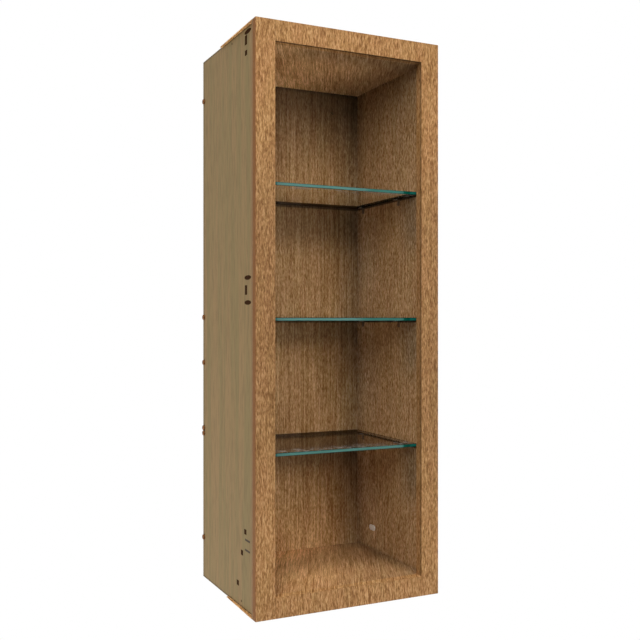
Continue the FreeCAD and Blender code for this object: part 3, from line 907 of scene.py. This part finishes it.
# The ground front edge, where the glass's own green collects, with painted shade making it deeper near its
# ends.
def frontEdgeGlass(name):
    wires = paint(name)
    places = wires.places()
    colour = wires.ramp(wires.noise(places, glass["drift"]), glass["frontColours"])
    fromMiddle = wires.calc("ABSOLUTE", wires.axes(places)[0])
    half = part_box("lower_shelf")[1].x
    endFrom = half - glass["endLength"]
    tipFrom = half - glass["tipLength"]
    isEnd = wires.band(fromMiddle, endFrom, endFrom + glass["endBlend"])
    isTip = wires.band(fromMiddle, tipFrom - glass["tipBlend"], tipFrom)
    colour = wires.mix(isEnd, colour, wires.mix(isTip, glass["endDeep"], glass["endPale"]))
    level = wires.axes(wires.add("TexCoord").outputs["Generated"])[2]
    isLow = wires.fall(level, glass["lowShare"] * glass["lowCore"], glass["lowShare"])
    colour = wires.darken(colour, isLow, glass["lowShade"])
    return straightGlass(wires, colour, glass["frontRough"], glass["frontThrough"])


def darkEdgeGlass(name, colour, through):
    wires = paint(name)
    drift = wires.noise(wires.places(), glass["drift"])
    tone = wires.mix(wires.times(drift, glass["driftShade"]), colour, (0, 0, 0, 1))
    return straightGlass(wires, tone, glass["edgeRough"], through)


finishes = {
    "frameOak": frameMaterial(),
    "lipOak": lipMaterial(),
    "backOak": backMaterial(),
    "ceilingOak": panelMaterial("ceilingOak", ceilingFinish),
    "floorOak": panelMaterial("floorOak", floorFinish),
    "caseSide": sideMaterial(),
    "railWood": plainWood("railWood", "X"),
    "cleatWood": plainWood("cleatWood", "Z"),
    "paneClear": clearGlass("paneClear"),
    "paneFront": frontEdgeGlass("paneFront"),
    "paneArris": darkEdgeGlass("paneArris", glass["arris"], through=0.2),
    "paneBack": darkEdgeGlass("paneBack", glass["back"], through=0.3),
    "paneSide": darkEdgeGlass("paneSide", glass["side"], through=0.1),
    "paneThrough": darkEdgeGlass("paneThrough", glass["through"], through=0.9),
    "nickel": metal("nickel", srgb(138, 124, 106), roughness=0.42, wear=0.3),
    "darkSteel": metal("darkSteel", srgb(62, 48, 34), roughness=0.6, wear=0.4),
    "bronze": metal("bronze", srgb(130, 84, 48), roughness=0.55, wear=0.5),
    # the filler plugs are real; their dark brown is painted shade for the shadowed holes they fill
    "filler": moulded("filler", srgb(58, 34, 14), roughness=0.9, speck=0.5, specular=0.05),
    "capPlastic": moulded("capPlastic", srgb(236, 231, 222), roughness=0.45, speck=0.06, specular=0.4),
    "padPlastic": softClear("padPlastic"),
}
print("finishes ready:", len(finishes))

wears = {
    "lipOak": ["left_top_lip", "left_bottom_lip", "right_top_lip", "right_bottom_lip"],
    "backOak": ["back_panel"],
    "ceilingOak": ["top_panel"],
    "floorOak": ["bottom_panel"],
    "caseSide": ["left_side", "right_side"],
    "railWood": ["upper_hanging_rail", "lower_hanging_rail", "top_corner_blocks", "bottom_corner_blocks"],
    "cleatWood": ["left_back_cleat", "right_back_cleat"],
    "darkSteel": ["left_frame_screws", "right_frame_screws", "left_staples", "right_staples"],
    "filler": ["left_filler_plugs", "right_filler_plugs", "left_pocket_plugs", "right_pocket_plugs"],
}


def dress(name, material):
    mesh = nodes[name].data
    mesh.materials.clear()
    mesh.materials.append(material)


for finishName, names in wears.items():
    for name in names:
        dress(name, finishes[finishName])
print("CAD pieces dressed")


# Eased boards and small hardware

eased = {
    "boardEdge": 0.0006,
    "pinEdge": 0.00025,
    "padEdge": 0.0003,
    "capEdge": 0.0008,
    "headEdge": 0.0003,
    "profile": 0.5,
    "level": math.radians(1),  # faces that turn less than this are one face
    "sharp": math.radians(30),
    "smooth": math.radians(50),
    "nearness": 1e-5,
    "weld": 1e-6,
}


def addPiece(name, mesh, node):
    piece = bpy.data.objects.new(name, mesh)
    bpy.context.scene.collection.objects.link(piece)
    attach(piece, nodes[node]["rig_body"])
    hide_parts(node)
    return piece


# True where an edge lies in two of the box's faces.
def onBoxEdge(edge, low, high):
    touched = 0
    for i in range(3):
        for limit in (low[i], high[i]):
            touched += all(abs(vert.co[i] - limit) < eased["nearness"] for vert in edge.verts)
    return touched >= 2


# The node's own form with its sharp edges rounded over.
def easedForm(node, width, steps, boxOnly):
    low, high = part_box(node)
    shape = bmesh.new()
    shape.from_mesh(nodes[node].data)
    bmesh.ops.remove_doubles(shape, verts=shape.verts[:], dist=eased["weld"])
    bmesh.ops.dissolve_limit(shape, angle_limit=eased["level"], verts=shape.verts[:], edges=shape.edges[:])
    picked = []
    for edge in shape.edges:
        isSharp = len(edge.link_faces) == 2 and edge.calc_face_angle_signed(0) > eased["sharp"]
        if isSharp and (onBoxEdge(edge, low, high) or not boxOnly):
            picked.append(edge)
    bmesh.ops.bevel(shape, geom=picked, offset=width, segments=steps, affect="EDGES",
                    profile=eased["profile"], clamp_overlap=True)
    return shape


def easedPiece(node, finishName, width, steps=2, boxOnly=False, smooth=True):
    shape = easedForm(node, width, steps, boxOnly)
    mesh = bpy.data.meshes.new(node + "_eased")
    shape.to_mesh(mesh)
    shape.free()
    mesh.materials.append(finishes[finishName])
    if smooth:
        mesh.shade_smooth()
        mesh.set_sharp_from_angle(angle=eased["smooth"])
    return addPiece(node + "_eased", mesh, node)


for node in ("left_stile", "right_stile", "top_rail", "bottom_rail"):
    easedPiece(node, "frameOak", eased["boardEdge"], boxOnly=True, smooth=False)
for shelf in shelves:
    easedPiece(shelf + "_pins", "nickel", eased["pinEdge"])
    easedPiece(shelf + "_pads", "padPlastic", eased["padEdge"])
easedPiece("cover_cap", "capPlastic", eased["capEdge"], steps=3)
print("boards and pins eased")


# Rear screws with a cross cut into each head

recess = {
    "length": 0.0048,
    "width": 0.0011,
    "depth": 0.0011,
    "sides": {"left": -1, "right": 1},  # which way each side's heads look
}


# Where each head's top is: the outermost point of each separate screw.
def headTops(node, outward):
    shape = bmesh.new()
    shape.from_mesh(nodes[node].data)
    bmesh.ops.remove_doubles(shape, verts=shape.verts[:], dist=eased["nearness"])
    left = set(shape.verts)
    tops = []
    while left:
        island, edge = set(), [left.pop()]
        while edge:
            vert = edge.pop()
            island.add(vert)
            fresh = {link.other_vert(vert) for link in vert.link_edges} & left
            left -= fresh
            edge.extend(fresh)
        places = [vert.co for vert in island]
        middle = [(min(p[i] for p in places) + max(p[i] for p in places)) / 2 for i in range(3)]
        middle[0] = outward * max(outward * p.x for p in places)
        tops.append(Vector(middle))
    shape.free()
    return sorted(tops, key=tuple)  # a set has no order of its own


# Two crossed bars on each head's top, half of each bar in the head.
def crossCutter(name, tops):
    shape = bmesh.new()
    for top in tops:
        for across in ((recess["length"], recess["width"]), (recess["width"], recess["length"])):
            made = bmesh.ops.create_cube(shape, size=1.0)["verts"]
            bmesh.ops.scale(shape, vec=(recess["depth"] * 2, *across), verts=made)
            bmesh.ops.translate(shape, vec=top, verts=made)
    mesh = bpy.data.meshes.new(name)
    shape.to_mesh(mesh)
    shape.free()
    cutter = bpy.data.objects.new(name, mesh)
    bpy.context.scene.collection.objects.link(cutter)
    return cutter


for side, outward in recess["sides"].items():
    node = side + "_rear_screws"
    screws = easedPiece(node, "bronze", eased["headEdge"])
    cutter = crossCutter(side + "_cross", headTops(node, outward))
    cut = screws.modifiers.new("cross", "BOOLEAN")
    cut.object = cutter
    cut.solver = "EXACT"
    cut.use_self = True
    bpy.context.view_layer.update()
    result = bpy.data.meshes.new_from_object(screws.evaluated_get(bpy.context.evaluated_depsgraph_get()))
    screws.modifiers.clear()
    screws.data = result
    bpy.data.objects.remove(cutter)
print("screw heads cut")


# Glass shelves

pane = {
    "arris": 0.0008,
    "arrisSteps": 2,
    "profile": 0.5,
    "flat": 0.97,  # how level a face is to be clear glass
    "finishes": ("paneClear", "paneFront", "paneArris", "paneBack", "paneSide", "paneThrough"),
    "clearEnded": ("lower_shelf",),  # painted shade: the others' ends are dark
}


def paneFinish(node, normal):
    if abs(normal.z) > pane["flat"]:
        return "paneClear"
    isUpright = abs(normal.z) < 1 - pane["flat"]
    if abs(normal.x) > abs(normal.y):
        return "paneThrough" if isUpright and node in pane["clearEnded"] else "paneSide"
    if normal.y > 0:
        return "paneBack"
    return "paneFront" if isUpright else "paneArris"


def makePane(node):
    low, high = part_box(node)
    shape = bmesh.new()
    bmesh.ops.create_cube(shape, size=1.0)
    for vert in shape.verts:
        for i in range(3):
            vert.co[i] = low[i] if vert.co[i] < 0 else high[i]
    bmesh.ops.bevel(shape, geom=shape.edges[:], offset=pane["arris"], segments=pane["arrisSteps"],
                    affect="EDGES", profile=pane["profile"])
    shape.normal_update()
    for face in shape.faces:
        face.material_index = pane["finishes"].index(paneFinish(node, face.normal))
    mesh = bpy.data.meshes.new(node + "_pane")
    shape.to_mesh(mesh)
    shape.free()
    for finishName in pane["finishes"]:
        mesh.materials.append(finishes[finishName])
    addPiece(node + "_pane", mesh, node)


for node in shelves:
    makePane(node)
print("glass shelves made")
